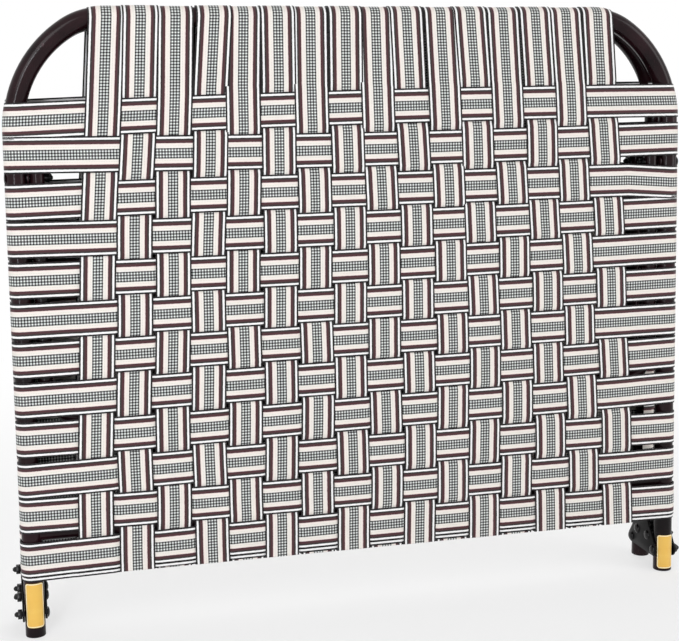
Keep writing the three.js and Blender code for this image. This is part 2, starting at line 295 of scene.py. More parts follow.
def place(bm, matrix):
    bmesh.ops.transform(bm, matrix=matrix, verts=bm.verts)
    if matrix.determinant() < 0:
        bmesh.ops.reverse_faces(bm, faces=bm.faces)


def gather(parts):
    """Joins several bmeshes into one."""
    whole = bmesh.new()
    for part in parts:
        mesh = bpy.data.meshes.new("part")
        part.to_mesh(mesh)
        part.free()
        whole.from_mesh(mesh)
        bpy.data.meshes.remove(mesh)
    return whole


def stood(half, parts):
    """Joins the parts of one piece and stands it where its half stands."""
    whole = gather(parts)
    place(whole, standing(half))
    return whole


def verts_of(geometry):
    return [part for part in geometry if isinstance(part, bmesh.types.BMVert)]


def edges_of(geometry):
    return [part for part in geometry if isinstance(part, bmesh.types.BMEdge)]


def weld(bm):
    bmesh.ops.remove_doubles(bm, verts=bm.verts, dist=WELD)
    bmesh.ops.recalc_face_normals(bm, faces=bm.faces)


def extrude(bm, edges, step):
    """Draws edges out by a step, and returns the edges at the far end."""
    made = bmesh.ops.extrude_edge_only(bm, edges=edges)["geom"]
    bmesh.ops.translate(bm, vec=step, verts=verts_of(made))
    return edges_of(made)


def steep_edges(bm, degrees):
    return [edge for edge in bm.edges if edge.calc_face_angle(0) > math.radians(degrees)]


def round_off(bm, edges, offset):
    bmesh.ops.bevel(bm, geom=edges, offset=offset, segments=2, profile=0.5, affect="EDGES", material=-1)


def sharpen(bm, degrees):
    for face in bm.faces:
        face.smooth = True
    for edge in bm.edges:
        edge.smooth = edge.is_manifold and edge.calc_face_angle(0) < math.radians(degrees)


def turned(profile, sides, matrix):
    """A turned part: its profile is (along, radius) pairs, spun about X."""
    bm = bmesh.new()
    points = [bm.verts.new((along, radius, 0)) for along, radius in profile]
    edges = [bm.edges.new(pair) for pair in zip(points, points[1:])]
    bmesh.ops.spin(
        bm, geom=points + edges, cent=(0, 0, 0), axis=(1, 0, 0), angle=math.tau, steps=sides, use_merge=True
    )
    weld(bm)
    place(bm, matrix)
    return bm


def u_tube(half_span, foot, crown, bends, radius, wall, sides):
    """A tube bent to a U in the XZ plane, open at its feet, with a real wall."""
    turn = 1 if crown > foot else -1
    across, along = bend_reach(bends)
    straight = crown - turn * along - foot
    bm = bmesh.new()
    ring = bmesh.ops.create_circle(bm, segments=sides, radius=radius, matrix=shift(-half_span, 0, foot))
    edges = list({edge for vert in ring["verts"] for edge in vert.link_edges})

    def turn_corner(edges, x, z, heading, corner):
        for bend, angle in corner:
            verts = list({vert for edge in edges for vert in edge.verts})
            centre = (x + bend * math.cos(heading), 0, z - turn * bend * math.sin(heading))
            steps = math.ceil(math.degrees(angle) / BEND_STEP_DEGREES)
            made = bmesh.ops.spin(
                bm, geom=verts + edges, cent=centre, axis=(0, turn, 0), angle=angle, steps=steps
            )["geom_last"]
            edges = edges_of(made)
            heading += angle
            x = centre[0] - bend * math.cos(heading)
            z = centre[2] + turn * bend * math.sin(heading)
        return edges

    edges = extrude(bm, edges, (0, 0, straight))
    edges = turn_corner(edges, -half_span, foot + straight, 0, bends)
    edges = extrude(bm, edges, (2 * (half_span - across), 0, 0))
    edges = turn_corner(edges, half_span - across, crown, math.pi / 2, bends[::-1])
    extrude(bm, edges, (0, 0, -straight))
    weld(bm)
    bmesh.ops.solidify(bm, geom=bm.faces, thickness=wall)
    bmesh.ops.recalc_face_normals(bm, faces=bm.faces)
    return bm


def wrapped_plate(discs, x0, x1, steps, edge_round):
    """A plate across X whose outline wraps discs given as (y, z, radius), counter-clockwise."""
    normals = []
    for (y, z, radius), (next_y, next_z, next_radius) in zip(discs, discs[1:] + discs[:1]):
        across = math.hypot(next_y - y, next_z - z)
        heading = math.atan2(next_z - z, next_y - y)
        normals.append(heading - math.pi / 2 + math.asin((radius - next_radius) / across))
    bm = bmesh.new()
    low_x = min(x0, x1)
    last = None
    for index, (y, z, radius) in enumerate(discs):
        start = normals[index - 1]
        angle = (normals[index] - start) % math.tau
        vert = bm.verts.new((low_x, y + radius * math.cos(start), z + radius * math.sin(start)))
        if last:
            bm.edges.new((last, vert))
        else:
            first = vert
        made = bmesh.ops.spin(
            bm, geom=[vert], cent=(low_x, y, z), axis=(1, 0, 0), angle=angle, steps=steps
        )["geom_last"]
        last = verts_of(made)[0]
    bm.edges.new((last, first))
    face = bmesh.ops.contextual_create(bm, geom=bm.edges)["faces"][0]
    made = bmesh.ops.extrude_face_region(bm, geom=[face])["geom"]
    bmesh.ops.translate(bm, vec=(abs(x1 - x0), 0, 0), verts=verts_of(made))
    bmesh.ops.recalc_face_normals(bm, faces=bm.faces)
    round_off(bm, steep_edges(bm, PLATE_RIM_DEGREES), edge_round)
    return bm


def bolt_and_nut(seat, tip, nut_seat, y, z, head_height):
    """A domed bolt and its rounded hexagon nut on one line across X."""
    turn = Matrix.Identity(4) if tip > seat else Matrix.Rotation(math.pi, 4, "Z")
    length = abs(tip - seat)
    dome = [
        (-head_height * math.cos(angle), BOLT_HEAD_RADIUS * math.sin(angle))
        for angle in [step * math.pi / 2 / DOME_STEPS for step in range(DOME_STEPS + 1)]
    ]
    point = [
        (length - BOLT_POINT_LENGTH, BOLT_RADIUS),
        (length, BOLT_RADIUS * BOLT_POINT_SHARE),
        (length, 0),
    ]
    bolt = turned(dome + [(0, BOLT_RADIUS)] + point, BOLT_SIDES, shift(seat, y, z) @ turn)
    nut = bmesh.new()
    corner_radius = NUT_WIDTH / math.sqrt(3)
    bmesh.ops.create_cone(
        nut, cap_ends=True, segments=NUT_SIDES, radius1=corner_radius, radius2=corner_radius, depth=NUT_HEIGHT
    )
    corners = [edge for edge in nut.edges if abs(edge.verts[0].co.z - edge.verts[1].co.z) > NUT_HEIGHT / 2]
    round_off(nut, corners, NUT_CORNER_ROUND)
    round_off(nut, steep_edges(nut, NUT_RIM_DEGREES), NUT_RIM_ROUND)
    outward = 1 if tip > nut_seat else -1
    place(nut, shift(nut_seat + outward * NUT_HEIGHT / 2, y, z) @ Matrix.Rotation(math.pi / 2, 4, "Y"))
    return [bolt, nut]


# Materials


def srgb(red, green, blue):
    def linear(value):
        value /= 255
        return value / 12.92 if value <= 0.04045 else ((value + 0.055) / 1.055) ** 2.4

    return (linear(red), linear(green), linear(blue), 1)


# Tape: tones, pitches of the threads, and places as shares of the half width
CHECK_GROUND = srgb(228, 232, 230)
CREAM = srgb(241, 236, 229)
PINK_EDGE = srgb(242, 226, 221)
MAROON = srgb(76, 42, 47)
UMBER = srgb(60, 46, 46)
TAPE_BLACK = srgb(18, 14, 16)
TAPE_WHITE = srgb(246, 246, 246)
STITCH_TONE = srgb(170, 150, 140)
SOIL = srgb(200, 188, 176)
CHECK_PITCH = 4.4 * MM
CHECK_EDGE_SHARE = 0.287
CHECK_DEPTH = 0.76
STITCH_PITCH = 2.4 * MM
STITCH_SHARE = 0.404
STITCH_REACH_SHARE = 0.016
STITCH_DEPTH = 0.35
SOIL_DEPTH = 0.16
RIB_PITCH = 1.3 * MM
RIB_HEIGHT = 0.12 * MM
WARP_PITCH = 0.9 * MM
WARP_TO_RIB = 0.6
EDGE_SHAKE = 0.7 * MM

# Where each band of the tape begins, from the middle out, as a share of the half width. The last black band
# is the tape's own black edge, drawn wider so that it also carries painted shade from the gaps between the
# tapes.
TAPE_BANDS = (
    (0.0, CHECK_GROUND),
    (CHECK_EDGE_SHARE, CREAM),
    (0.487, PINK_EDGE),
    (0.553, MAROON),
    (0.677, UMBER),
    (0.752, TAPE_BLACK),
    (0.796, TAPE_WHITE),
    # Black edge of the tape: partly its own dye, partly painted shade of the gap beside it
    (0.909, TAPE_BLACK),
)

# Card, coatings, floor and light
AMBER = srgb(242, 200, 96)
AMBER_DEEP = srgb(232, 176, 62)
LABEL_RIM = srgb(252, 238, 196)
RUB_SLOPE = 18.0
GRAIN_HEIGHT = 0.2 * MM
WHITE = (1, 1, 1, 1)
FLOOR_TONE = (0.9, 0.9, 0.9, 1)
FLOOR_GLOW = 0.6
FLOOR_FADE = (0.7, 2.2)
ROOM_LIGHT = 0.51


def material(name):
    made = bpy.data.materials.new(name)
    made.use_nodes = True
    tree = made.node_tree
    shader = tree.nodes["Principled BSDF"]
    return made, tree, shader


def set_or_link(tree, made, inputs):
    """Gives each input of a node its value, or links it to the socket given for it."""
    for key, value in inputs.items():
        if isinstance(value, bpy.types.NodeSocket):
            tree.links.new(value, made.inputs[key])
        else:
            made.inputs[key].default_value = value


def node(tree, kind, inputs=None, **settings):
    made = tree.nodes.new(kind)
    for key, value in settings.items():
        setattr(made, key, value)
    set_or_link(tree, made, inputs or {})
    return made


def maths(tree, operation, first, second=0.0, third=0.0):
    made = node(tree, "ShaderNodeMath", {0: first, 1: second, 2: third}, operation=operation)
    return made.outputs[0]


def colour_mix(tree, share, first, second, blend="MIX"):
    made = node(
        tree, "ShaderNodeMix", {0: share, 6: first, 7: second}, data_type="RGBA", blend_type=blend
    )
    return made.outputs[2]


def noise(tree, where, scale, detail, **more):
    inputs = {"Vector": where, "Scale": scale, "Detail": detail, **more}
    return node(tree, "ShaderNodeTexNoise", inputs).outputs["Fac"]


def bump(tree, shader, height, strength, distance):
    made = node(tree, "ShaderNodeBump", {"Height": height, "Strength": strength, "Distance": distance})
    tree.links.new(made.outputs[0], shader.inputs["Normal"])


def new_group(name, inputs, outputs):
    tree = bpy.data.node_groups.new(name, "ShaderNodeTree")
    for socket, (kind, value) in inputs.items():
        made = tree.interface.new_socket(socket, in_out="INPUT", socket_type=kind)
        made.default_value = value
    for socket, kind in outputs.items():
        tree.interface.new_socket(socket, in_out="OUTPUT", socket_type=kind)
    return tree, tree.nodes.new("NodeGroupInput"), tree.nodes.new("NodeGroupOutput")


def finish_grain_group():
    """Orange peel, drifting tone and rubbed patches, for anything sprayed, blackened or moulded."""
    tree, given, out = new_group(
        "finish_grain",
        {
            "Grain": ("NodeSocketFloat", 600.0),
            "Drift": ("NodeSocketFloat", 9.0),
            "Rub": ("NodeSocketFloat", 0.6),
        },
        {"Height": "NodeSocketFloat", "Tone": "NodeSocketFloat", "Rubbed": "NodeSocketFloat"},
    )
    where = tree.nodes.new("ShaderNodeTexCoord").outputs["Object"]
    grain = noise(tree, where, scale=given.outputs["Grain"], detail=2.0)
    drift = noise(tree, where, scale=given.outputs["Drift"], detail=4.0)
    pits = noise(tree, where, scale=75.0, detail=5.0, Roughness=0.7)
    edge = maths(tree, "SUBTRACT", pits, given.outputs["Rub"])
    rubbed = node(tree, "ShaderNodeClamp", {"Value": maths(tree, "MULTIPLY", edge, RUB_SLOPE)})
    tree.links.new(grain, out.inputs["Height"])
    tree.links.new(drift, out.inputs["Tone"])
    tree.links.new(rubbed.outputs[0], out.inputs["Rubbed"])
    return tree


finish_grain = finish_grain_group()


def coated(name, deep, light, worn, grain, drift, rub, rough, worn_rough, relief, metallic, specular):
    """A finish whose colour drifts between two tones and is worn to a third in small patches."""
    made, tree, shader = material(name)
    grains = tree.nodes.new("ShaderNodeGroup")
    grains.node_tree = finish_grain
    set_or_link(tree, grains, {"Grain": grain, "Drift": drift, "Rub": rub})
    drifting = {"Value": grains.outputs["Tone"], "From Min": 0.35, "From Max": 0.68}
    tone = node(tree, "ShaderNodeMapRange", drifting)
    base = colour_mix(tree, tone.outputs[0], deep, light)
    colour = colour_mix(tree, grains.outputs["Rubbed"], base, worn)
    rubbing = {"Value": grains.outputs["Rubbed"], "To Min": rough, "To Max": worn_rough}
    roughness = node(tree, "ShaderNodeMapRange", rubbing)
    finish = {
        "Base Color": colour,
        "Roughness": roughness.outputs[0],
        "Metallic": metallic,
        "Specular IOR Level": specular,
    }
    set_or_link(tree, shader, finish)
    bump(tree, shader, grains.outputs["Height"], strength=relief, distance=GRAIN_HEIGHT)
    return made


def tape_material():
    """Striped cotton tape: check in the middle, cream, maroon, black, white and black towards each edge."""
    made, tree, shader = material("striped_tape")
    laid = node(tree, "ShaderNodeUVMap", uv_map="tape").outputs[0]
    split = node(tree, "ShaderNodeSeparateXYZ", {0: laid})
    across, along = split.outputs[0], split.outputs[1]
    wobble = noise(tree, laid, scale=260.0, detail=2.0)
    shake = maths(tree, "MULTIPLY", maths(tree, "SUBTRACT", wobble, 0.5), EDGE_SHAKE)
    middle = maths(tree, "SUBTRACT", across, TAPE_WIDTH / 2)
    offset = maths(tree, "ABSOLUTE", maths(tree, "ADD", middle, shake))
    share = maths(tree, "DIVIDE", offset, TAPE_WIDTH / 2)
    bands = node(tree, "ShaderNodeValToRGB", {"Fac": share})
    ramp = bands.color_ramp
    ramp.interpolation = "CONSTANT"
    ramp.elements[0].color = TAPE_BANDS[0][1]
    ramp.elements[1].position, ramp.elements[1].color = TAPE_BANDS[1]
    for position, colour in TAPE_BANDS[2:]:
        ramp.elements.new(position).color = colour

    def thread(value, pitch, start=0.0):
        turns = maths(tree, "MULTIPLY_ADD", value, math.tau / pitch, start)
        return maths(tree, "SINE", turns)

    warp_dark = maths(tree, "GREATER_THAN", thread(middle, CHECK_PITCH, -math.pi / 2), 0.0)
    weft_dark = maths(tree, "GREATER_THAN", thread(along, CHECK_PITCH), 0.0)
    in_check = maths(tree, "LESS_THAN", share, CHECK_EDGE_SHARE)
    crossings = maths(tree, "ADD", warp_dark, weft_dark)
    shade = maths(tree, "MULTIPLY", maths(tree, "MULTIPLY", crossings, in_check), CHECK_DEPTH)
    checked = colour_mix(tree, shade, bands.outputs[0], TAPE_BLACK)
    stitch_line = maths(tree, "COMPARE", share, STITCH_SHARE, STITCH_REACH_SHARE)
    stitch_shows = maths(tree, "GREATER_THAN", thread(along, STITCH_PITCH), 0.0)
    stitch = maths(tree, "MULTIPLY", stitch_line, stitch_shows)
    stitched = colour_mix(tree, maths(tree, "MULTIPLY", stitch, STITCH_DEPTH), checked, STITCH_TONE)
    soil = maths(tree, "MULTIPLY", noise(tree, laid, scale=22.0, detail=3.0), SOIL_DEPTH)
    soiled = colour_mix(tree, soil, stitched, SOIL, "MULTIPLY")
    warps = maths(tree, "MULTIPLY", thread(across, WARP_PITCH), WARP_TO_RIB)
    ribs = maths(tree, "ADD", thread(along, RIB_PITCH), warps)
    finish = {
        "Base Color": soiled,
        "Roughness": 0.72,
        "Specular IOR Level": 0.3,
        "Sheen Weight": 0.15,
        "Sheen Roughness": 0.5,
    }
    set_or_link(tree, shader, finish)
    bump(tree, shader, ribs, strength=0.25, distance=RIB_HEIGHT)
    return made


def label_material():
    """Amber card under clear film, with a pale rim line."""
    made, tree, shader = material("amber_card")
    laid = node(tree, "ShaderNodeUVMap", uv_map="label").outputs[0]
    mark = node(tree, "ShaderNodeSeparateXYZ", {0: laid}).outputs[0]
    base = colour_mix(tree, noise(tree, laid, scale=3.0, detail=3.0), AMBER_DEEP, AMBER)
    line = maths(tree, "COMPARE", mark, RIM_MARK, RIM_REACH)
    colour = colour_mix(tree, line, base, LABEL_RIM)
    set_or_link(tree, shader, {"Base Color": colour, "Roughness": 0.35, "Coat Weight": 0.4})
    return made


def seen_directly(tree):
    """Whether the camera sees the place itself, in a reflection or through something clear."""
    path = tree.nodes.new("ShaderNodeLightPath")
    seen = maths(tree, "MAXIMUM", path.outputs["Is Camera Ray"], path.outputs["Is Glossy Ray"])
    return maths(tree, "MAXIMUM", seen, path.outputs["Is Transmission Ray"])


def floor_material():
    """A pale floor that keeps the shadow near the bed and is white behind it."""
    made, tree, shader = material("pale_floor")
    set_or_link(tree, shader, {"Base Color": FLOOR_TONE, "Roughness": 0.9, "Specular IOR Level": 0.1})
    where = tree.nodes.new("ShaderNodeTexCoord").outputs["Object"]
    away = node(tree, "ShaderNodeVectorMath", {0: where}, operation="LENGTH").outputs["Value"]
    near, far = FLOOR_FADE
    fading = {"Value": away, "From Min": near, "From Max": far, "To Min": FLOOR_GLOW, "To Max": 1.0}
    fade = node(tree, "ShaderNodeMapRange", fading, interpolation_type="SMOOTHSTEP").outputs[0]
    white = node(tree, "ShaderNodeEmission", {"Color": WHITE, "Strength": 1.0})
    share = maths(tree, "MULTIPLY", fade, seen_directly(tree))
    mixed = node(tree, "ShaderNodeMixShader", {0: share, 1: shader.outputs[0], 2: white.outputs[0]})
    tree.links.new(mixed.outputs[0], tree.nodes["Material Output"].inputs["Surface"])
    return made


# The finish of each material slot
finishes = {
    "frame_paint": coated(
        "brown_black_paint", deep=srgb(10, 4, 5), light=srgb(41, 19, 24), worn=srgb(68, 50, 54),
        grain=420.0, drift=11.0, rub=0.66, rough=0.17, worn_rough=0.36, relief=0.3,
        metallic=0.0, specular=0.18,
    ),
    "hinge_steel": coated(
        "blackened_plate", deep=srgb(6, 5, 6), light=srgb(13, 11, 12), worn=srgb(56, 50, 52),
        grain=700.0, drift=16.0, rub=0.67, rough=0.4, worn_rough=0.34, relief=0.25,
        metallic=0.0, specular=0.1,
    ),
    "fastener_steel": coated(
        "blackened_bolt", deep=srgb(9, 8, 9), light=srgb(19, 17, 19), worn=srgb(78, 73, 74),
        grain=900.0, drift=40.0, rub=0.66, rough=0.26, worn_rough=0.28, relief=0.2,
        metallic=0.1, specular=0.3,
    ),
    "black_plastic": coated(
        "black_plastic", deep=srgb(18, 17, 18), light=srgb(30, 28, 30), worn=srgb(52, 49, 50),
        grain=800.0, drift=25.0, rub=0.7, rough=0.5, worn_rough=0.62, relief=0.3,
        metallic=0.0, specular=0.5,
    ),
    "tape_webbing": tape_material(),
    "amber_label": label_material(),
}


# Pieces


def add_object(name, bm, finish):
    mesh = bpy.data.meshes.new(name)
    bm.to_mesh(mesh)
    bm.free()
    mesh.materials.append(finish)
    made = bpy.data.objects.new(name, mesh)
    bpy.context.scene.collection.objects.link(made)
    return made


def piece(name, bm, slot, body=None, replaced=(), sharp_degrees=SHARP_DEGREES):
    sharpen(bm, sharp_degrees)
    made = add_object(name, bm, finishes[slot])
    if body:
        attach(made, body)
    if replaced:
        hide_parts(*replaced)
    return made


def thicken(made, thickness):
    solid = made.modifiers.new("thickness", "SOLIDIFY")
    solid.thickness = thickness
    solid.offset = 0


# The webbing

chance = random.Random(SEED)


def sways(count, least, most, fewest_turns, most_turns):
    """A small drift for each tape: its size, its turns in each metre as an angle, and where it starts."""
    return [
        (chance.uniform(least, most), chance.uniform(fewest_turns, most_turns), chance.uniform(0, math.tau))
        for _ in range(count)
    ]


column_sways = sways(len(COLUMNS), *COLUMN_SWAY)
row_sways = sways(len(ROWS), *ROW_SWAY)


def along_curve(places, share):
    """A smooth curve through three places, the first at share 0, the second half way and the third at 1."""
    low, middle, high = places
    low_part = low * (2 * share - 1) * (share - 1)
    middle_part = middle * 4 * share * (1 - share)
    high_part = high * share * (2 * share - 1)
    return (low_part + middle_part + high_part) * MM


def column_x(index, z):
    share = (z - FIELD_FOOT) / (HEAD_AXIS - FIELD_FOOT)
    size, turns, start = column_sways[index]
    calm = ease(share * SWAY_RISE)
    return along_curve(COLUMNS[index], share) + calm * size * math.sin(turns * z + start)


def row_z(half, index, x):
    size, turns, start = row_sways[index]
    z = along_curve(ROWS[index], (x + RAIL_X) / (2 * RAIL_X)) + size * math.sin(turns * x + start)
    if half == "rear" and index == 0:
        z += REAR_FIRST_ROW_RISE
    near_rail = ease((abs(x) - LEG_X) / (RAIL_X - LEG_X) + 1)
    reach = BOLT_HEAD_RADIUS - ROW_BOLT_LAP + TAPE_WIDTH / 2
    if index == ROW_ABOVE_LEG_BOLT:
        z = mix(z, max(z, LEG_PIVOT + reach), near_rail)
    if index == ROW_ABOVE_LEG_BOLT + 1:
        z = mix(z, min(z, LEG_PIVOT - reach), near_rail)
    return z


def rail_inset(z):
    """How far inside its straight run a rail lies at z, where its corner has begun."""
    beyond = z - (HEAD_AXIS - CORNER_ALONG)
    return RAIL_BEND[0] - math.sqrt(RAIL_BEND[0] ** 2 - max(0, beyond) ** 2)


def head_drop(x):
    """How much lower the head tube is at x than between its corners."""
    beyond = abs(x) - (RAIL_X - CORNER_ACROSS)
    return HEAD_BEND[0] - math.sqrt(HEAD_BEND[0] ** 2 - max(0, beyond) ** 2)


def crosses_over(column, row):
    """Whether the length tape lies over the cross tape there."""
    return (column + row) % 2 == 0


def weave(position, centres, signs):
    """How far over (1) or under (-1) a tape lies where it passes the tapes that cross it."""
    outside = TAPE_WIDTH / 2
    if position <= centres[0]:
        return signs[0] * (1 - ease((centres[0] - outside - position) / (2 * WEAVE_EASE)))
    if position >= centres[-1]:
        return signs[-1] * (1 - ease((position - centres[-1] - outside) / (2 * WEAVE_EASE)))
    for low, high, sign, next_sign in zip(centres, centres[1:], signs, signs[1:]):
        if position <= high:
            middle = (low + high) / 2
            return mix(sign, next_sign, ease((position - middle + WEAVE_EASE) / (2 * WEAVE_EASE)))
    return 0


def crowned(level, across):
    return WEAVE_LIFT * level + CROWN * max(0, level) * (1 - (2 * across - 1) ** 2)


def strip(stations, point, lengths=None):
    """A tape laid along stations: point(station, across) gives a place, lengths its own measure there."""
    run = dict(zip(stations, lengths or stations))
    bm = bmesh.new()
    count = len(stations) - 1
    grid = bmesh.ops.create_grid(bm, x_segments=ACROSS_STEPS, y_segments=count, size=0.5)["verts"]
    layer = bm.loops.layers.uv.new("tape")
    spots = {vert: (stations[round((vert.co.y + 0.5) * count)], vert.co.x + 0.5) for vert in grid}
    for face in bm.faces:
        for loop in face.loops:
            station, across = spots[loop.vert]
            loop[layer].uv = (across * TAPE_WIDTH, run[station])
    for vert, (station, across) in spots.items():
        vert.co = point(station, across)
    return bm


def stations_between(start, stop, crossings):
    """Places along a tape: close together where it passes between the tapes that cross it."""
    places = {start, stop}
    for centre in crossings:
        places.update(centre + share * TAPE_WIDTH / 2 for share in CROSSING_SHARES)
    ends = [crossings[0] - TAPE_WIDTH / 2 - WEAVE_EASE, crossings[-1] + TAPE_WIDTH / 2 + WEAVE_EASE]
    gaps = [(low + high) / 2 for low, high in zip(crossings, crossings[1:])]
    for middle in ends + gaps:
        places.update(middle + share * WEAVE_EASE for share in PASSING_SHARES)
    return sorted(at for at in places if start <= at <= stop)


def wrap_lengths(radius):
    """Lengths along a tape's half turn round a tube."""
    return [math.pi * radius * step / WRAP_STEPS for step in range(WRAP_STEPS + 1)]


def cross_tape(half, row, drop=0.0, rail_lift=0.0, deeper=0.0):
    """One cross tape, from its tail behind the left rail, round it, across and round the right rail."""
    middle = row_z(half, row, 0) - drop
    centres = [column_x(index, middle) for index in range(len(COLUMNS))]
    signs = [-1 if crosses_over(index, row) else 1 for index in range(len(COLUMNS))]
    radius = WRAP_RADIUS + rail_lift
    turn = math.pi * radius
    arc = wrap_lengths(radius)
    left = [-RAIL_X - turn - TAPE_TAIL, *(-RAIL_X - turn + length for length in arc)]
    right = [*(RAIL_X + length for length in arc), RAIL_X + turn + TAPE_TAIL]
    stations = left + stations_between(-RAIL_X, RAIL_X, centres)[1:-1] + right
    slack = chance.uniform(-TAIL_SLACK, TAIL_SLACK)

    def point(station, across):
        over = abs(station) - RAIL_X
        side = 1 if station > 0 else -1
        sideways = (across - 0.5) * TAPE_WIDTH
        if over <= 0:
            z = row_z(half, row, station) - drop + sideways
            x = station * (1 - rail_inset(z) / RAIL_X)
            margin = RAIL_X - abs(centres[0 if side < 0 else -1]) - TAPE_WIDTH / 2
            beyond = ease((RAIL_X - abs(x)) / margin)
            rise = beyond * (WEAVE_PLANE - WRAP_RADIUS) + (1 - beyond) * rail_lift
            here = [column_x(index, z) for index in range(len(COLUMNS))]
            level = weave(x, here, signs)
            return Vector((x, -(WRAP_RADIUS + rise + crowned(level, across) - deeper * beyond), z))
        angle = min(over, turn) / radius
        tail = max(0, over - turn)
        z = row_z(half, row, side * RAIL_X) - drop + sideways
        x = side * (RAIL_X - rail_inset(z) + radius * math.sin(angle) - tail)
        return Vector((x, -radius * math.cos(angle), z + slack * tail / TAPE_TAIL))

    return strip(stations, point)


def length_tape(half, column):
    """One length tape, from the foot of the field up through the cross tapes and over the head tube."""
    rows_up = range(LAST_ROW, -1, -1)
    centres = [row_z(half, row, column_x(column, row_z(half, row, 0))) for row in rows_up]
    signs = [1 if crosses_over(column, row) else -1 for row in rows_up]
    head_radius = WRAP_RADIUS + HEAD_LAYERS[column % 2]
    turn = math.pi * head_radius
    field = stations_between(FIELD_FOOT, HEAD_AXIS, centres)
    stations = [FIELD_FOOT] + [at for at in field if at > FIELD_FOOT + FIRST_STATION_GAP]
    stations += [HEAD_AXIS + length for length in wrap_lengths(head_radius)[1:]]
    stations.append(HEAD_AXIS + turn + HEAD_TAIL)

    def point(station, across):
        over = station - HEAD_AXIS
        sideways = (across - 0.5) * TAPE_WIDTH
        drop = head_drop(column_x(column, HEAD_AXIS) + sideways)
        if over <= 0:
            rise = ease((HEAD_AXIS - station) / (HEAD_AXIS - centres[-1] - TAPE_WIDTH / 2))
            plane = mix(head_radius, WEAVE_PLANE, rise)
            level = signs[0] if station < centres[0] else weave(station, centres, signs)
            near_head = ease(1 + over / HEAD_DROP_FADE)
            x = column_x(column, station) + sideways
            return Vector((x, -(plane + crowned(level, across)), station - drop * near_head))
        angle = min(over, turn) / head_radius
        tail = max(0, over - turn)
        x = column_x(column, HEAD_AXIS) + sideways
        z = HEAD_AXIS + head_radius * math.sin(angle) - tail
        return Vector((x, -head_radius * math.cos(angle), z - drop))

    return strip(stations, point)


def bezier(start, first, second, stop, share):
    back = 1 - share
    return back**3 * start + 3 * back**2 * share * first + 3 * back * share**2 * second + share**3 * stop


def fold_tape(column):
    """The slack of one length tape, from the foot of the front field to the middle between the halves."""
    start = standing("front") @ Vector((0, -FOLD_OUTSIDE, FIELD_FOOT))
    first = start - Vector((0, FOLD_SHOULDER_OUT, FOLD_SHOULDER_DROP))
    bottom = FOLD_BOTTOM + mix(*FOLD_TIGHTER, column / (len(COLUMNS) - 1))
    second = Vector((0, start.y * FOLD_KNEE_SHARE, bottom + FOLD_KNEE_RISE))
    stop = Vector((0, 0, bottom))
    spots = [bezier(start, first, second, stop, step / FOLD_STEPS) for step in range(FOLD_STEPS + 1)]
    lengths = [FIELD_FOOT]
    for low, high in zip(spots, spots[1:]):
        lengths.append(lengths[-1] - (high - low).length)
    centre = COLUMNS[column][0] * MM
    level = 1 if crosses_over(column, LAST_ROW) else -1
    field_outward = (standing("front").to_3x3() @ Vector((0, -1, 0))).normalized()

    def point(step, across):
        fade = 1 - ease(step / FOLD_STEPS * FOLD_FADE)
        lift = crowned(level, across) + WEAVE_PLANE - FOLD_OUTSIDE
        at = spots[step]
        ahead = (spots[min(step + 1, FOLD_STEPS)] - spots[max(step - 1, 0)]).normalized()
        outward = Vector((0, ahead.z, -ahead.y)) if step else field_outward
        return Vector((centre + (across - 0.5) * TAPE_WIDTH, at.y, at.z)) + outward * lift * fade

    return strip(range(FOLD_STEPS + 1), point, lengths)


def tapes(name, bm, body, node_name):
    made = piece(name, bm, "tape_webbing", body, [node_name], SMOOTH_DEGREES)
    thicken(made, TAPE_THICKNESS)
    return made


for half in HALVES:
    body = half + "_half"
    rows = [cross_tape(half, row) for row in range(LAST_ROW)]
    rows.append(cross_tape(half, LAST_ROW, rail_lift=LAST_ROW_LIFT))
    rows.append(cross_tape(half, LAST_ROW, drop=TUCKED_ROW_DROP, deeper=LAST_ROW_LIFT))
    tapes(half + "_cross_tapes", stood(half, rows), body, half + "_webbing")
    columns = [length_tape(half, column) for column in range(len(COLUMNS))]
    tapes(half + "_length_tapes", stood(half, columns), body, half + "_webbing")
    folds = gather([fold_tape(column) for column in range(len(COLUMNS))])
    if half == "rear":
        place(folds, Matrix.Scale(-1, 4, (0, 1, 0)))
    fold = tapes(half + "_fold_tapes", folds, None, "fold_webbing")
    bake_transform(fold)


# The frame, its legs and hinges


def rail_tube():
    return u_tube(RAIL_X, CAP_FLANGE, HEAD_AXIS, RAIL_CORNER, RAIL_RADIUS, RAIL_WALL, RAIL_SIDES)


def leg_tube():
    top = LEG_PIVOT + LEG_TOP_OVERHANG
    return u_tube(LEG_X, top, LEG_FOOT, LEG_CORNER, LEG_RADIUS, LEG_WALL, LEG_SIDES)


def cross_bar():
    """The bar between the rails, its ends cut to the rails' round."""
    bar = bmesh.new()
    bmesh.ops.create_cone(
        bar, cap_ends=False, segments=BAR_SIDES, radius1=BAR_RADIUS, radius2=BAR_RADIUS, depth=2 * RAIL_X
    )
    place(bar, shift(0, 0, BAR_HEIGHT) @ Matrix.Rotation(math.pi / 2, 4, "Y"))
    for vert in bar.verts:
        side = 1 if vert.co.x > 0 else -1
        vert.co.x = side * (RAIL_X - math.sqrt((RAIL_RADIUS - SEAT_GAP) ** 2 - vert.co.y**2))
    return bar


def end_cap(sign):
    flange_end, plug_radius = CAP_FLANGE - SEAT_GAP, RAIL_RADIUS - RAIL_WALL - SEAT_GAP
    profile = [
        (0, 0),
        (0, RAIL_RADIUS - CAP_FACE_INSET),
        (CAP_LIP, RAIL_RADIUS - CAP_LIP),
        (flange_end, RAIL_RADIUS),
        (flange_end, plug_radius),
        (CAP_PLUG_LENGTH, plug_radius),
        (CAP_PLUG_LENGTH, 0),
    ]
    return turned(profile, RAIL_SIDES, shift(sign * RAIL_X, 0, 0) @ Matrix.Rotation(-math.pi / 2, 4, "Y"))


